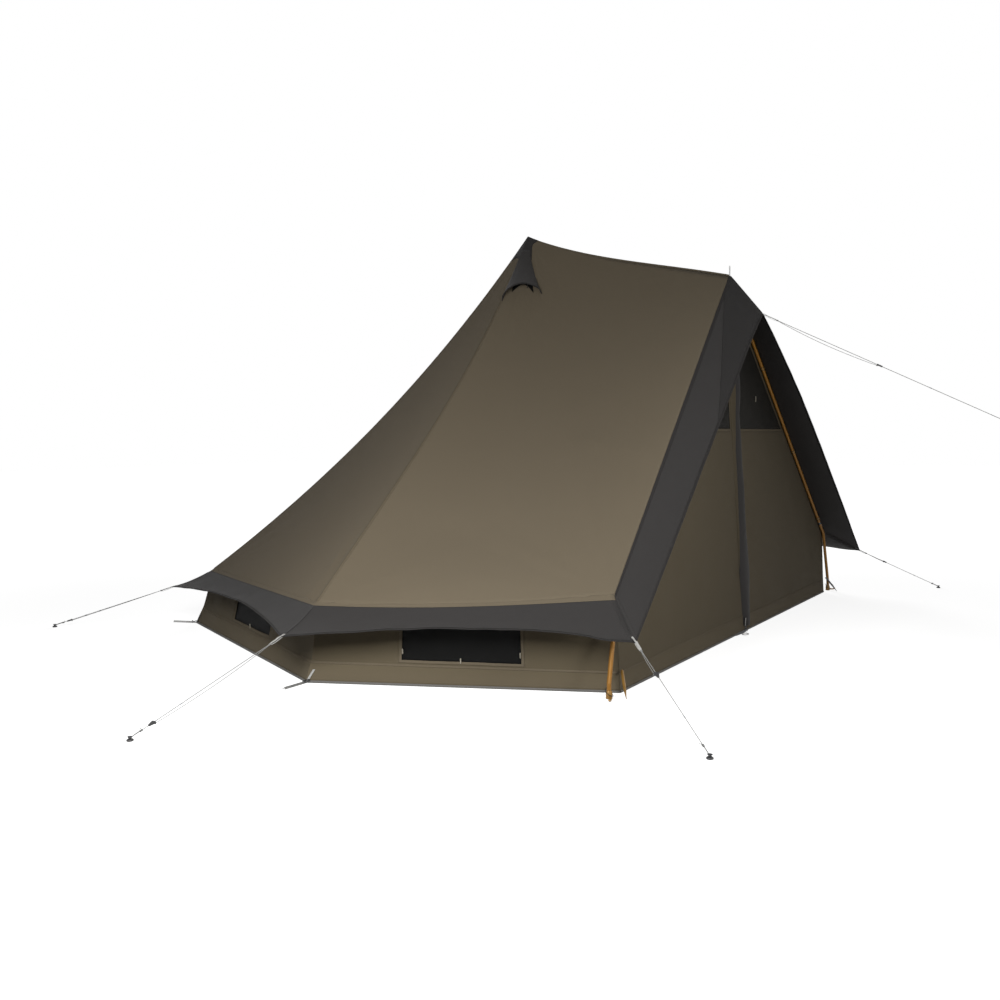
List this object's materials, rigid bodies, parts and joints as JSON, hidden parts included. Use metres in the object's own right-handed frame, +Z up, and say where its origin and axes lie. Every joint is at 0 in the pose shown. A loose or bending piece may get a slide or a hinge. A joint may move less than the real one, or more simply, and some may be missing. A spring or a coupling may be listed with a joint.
{
  "type": "ridge tent",
  "caption": "Six-sided ridge tent with a bent-tube A-frame at its door, a middle pole, low walls, scalloped valances, vent hoods and guylines.",
  "frame": {"origin": "on the ground under the middle pole, at the groundsheet's underside", "axes": "+Z up, +X to the right of someone inside who looks to the rear, +Y from the door to the rear"},
  "size_m": [6.294, 4.8938, 2.3695],
  "materials": {
    "canvas": "matte woven cloth",
    "charcoal": "matte woven cloth",
    "groundsheet": "coated cloth",
    "amber": "anodised",
    "steel": "brushed",
    "black_plastic": "matte",
    "cord": "braided"
  },
  "bodies": {
    "tent": {"apex_cap": "charcoal", "centre_pole": "steel", "centre_pole_foot": "black_plastic", "foot_left": "black_plastic", "foot_right": "black_plastic", "front_wall": "canvas", "groundsheet": "groundsheet", "guyline_front_left": "cord", "guyline_front_right": "cord", "guyline_mid_left": "cord", "guyline_mid_right": "cord", "guyline_rear_left": "cord", "guyline_rear_right": "cord", "guyline_ridge": "cord", "leg_left": "amber", "leg_right": "amber", "peg_door": "steel", "peg_front_left": "amber", "peg_front_right": "amber", "peg_mid_left": "steel", "peg_mid_right": "steel", "peg_rear_left": "steel", "peg_rear_right": "steel", "pole_left": "amber", "pole_right": "amber", "porch_left": "charcoal", "porch_right": "charcoal", "ridge_hub": "steel", "ridge_line_loop": "cord", "roof_left": "canvas", "roof_rear": "canvas", "roof_rear_left": "canvas", "roof_rear_right": "canvas", "roof_right": "canvas", "stake_front_left": "steel", "stake_front_right": "steel", "stake_mid_left": "steel", "stake_mid_right": "steel", "stake_rear_left": "steel", "stake_rear_right": "steel", "valance_left": "charcoal", "valance_rear": "charcoal", "valance_right": "charcoal", "vent_hood_left": "charcoal", "vent_hood_right": "charcoal", "wall_left": "canvas", "wall_rear": "canvas", "wall_rear_left": "canvas", "wall_rear_right": "canvas", "wall_right": "canvas"},
    "door_left": {"door_left": "canvas"},
    "door_right": {"door_right": "canvas"},
    "zip_slider": {"zip_slider": "black_plastic"},
    "tensioner_front_left": {"tensioner_front_left": "black_plastic"},
    "tensioner_front_right": {"tensioner_front_right": "black_plastic"},
    "tensioner_mid_left": {"tensioner_mid_left": "black_plastic"},
    "tensioner_mid_right": {"tensioner_mid_right": "black_plastic"},
    "tensioner_rear_left": {"tensioner_rear_left": "black_plastic"},
    "tensioner_rear_right": {"tensioner_rear_right": "black_plastic"},
    "tensioner_ridge": {"tensioner_ridge": "black_plastic"}
  },
  "joints": [
    {"name": "door_left_hinge", "type": "hinge", "parent": "tent", "child": "door_left", "pos_m": [-1.45, -1.4412, 0.012], "axis": [-0.6402, -0.051, -0.7665], "range_deg": [0, 95]},
    {"name": "door_right_hinge", "type": "hinge", "parent": "tent", "child": "door_right", "pos_m": [1.45, -1.4412, 0.012], "axis": [-0.6402, 0.051, 0.7665], "range_deg": [0, 95]},
    {"name": "zip_slide", "type": "slide", "parent": "door_left", "child": "zip_slider", "axis": [0, 0.0663, 0.9978], "range_m": [0, 1.57]},
    {"name": "tensioner_front_left_slide", "type": "slide", "parent": "tent", "child": "tensioner_front_left", "axis": [-0.5756, -0.7037, -0.4166], "range_m": [-0.128, 0.36]},
    {"name": "tensioner_front_right_slide", "type": "slide", "parent": "tent", "child": "tensioner_front_right", "axis": [0.5756, -0.7037, -0.4166], "range_m": [-0.128, 0.36]},
    {"name": "tensioner_mid_left_slide", "type": "slide", "parent": "tent", "child": "tensioner_mid_left", "axis": [-0.955, -0.0162, -0.2961], "range_m": [-0.45, 0.02]},
    {"name": "tensioner_mid_right_slide", "type": "slide", "parent": "tent", "child": "tensioner_mid_right", "axis": [0.955, -0.0162, -0.2961], "range_m": [-0.45, 0.02]},
    {"name": "tensioner_rear_left_slide", "type": "slide", "parent": "tent", "child": "tensioner_rear_left", "axis": [-0.5955, 0.7461, -0.2978], "range_m": [-0.45, 0.01]},
    {"name": "tensioner_rear_right_slide", "type": "slide", "parent": "tent", "child": "tensioner_rear_right", "axis": [0.5955, 0.7461, -0.2978], "range_m": [-0.45, 0.01]},
    {"name": "tensioner_ridge_slide", "type": "slide", "parent": "tent", "child": "tensioner_ridge", "axis": [0, -0.8937, -0.4486], "range_m": [-0.4, 0.4]}
  ]
}
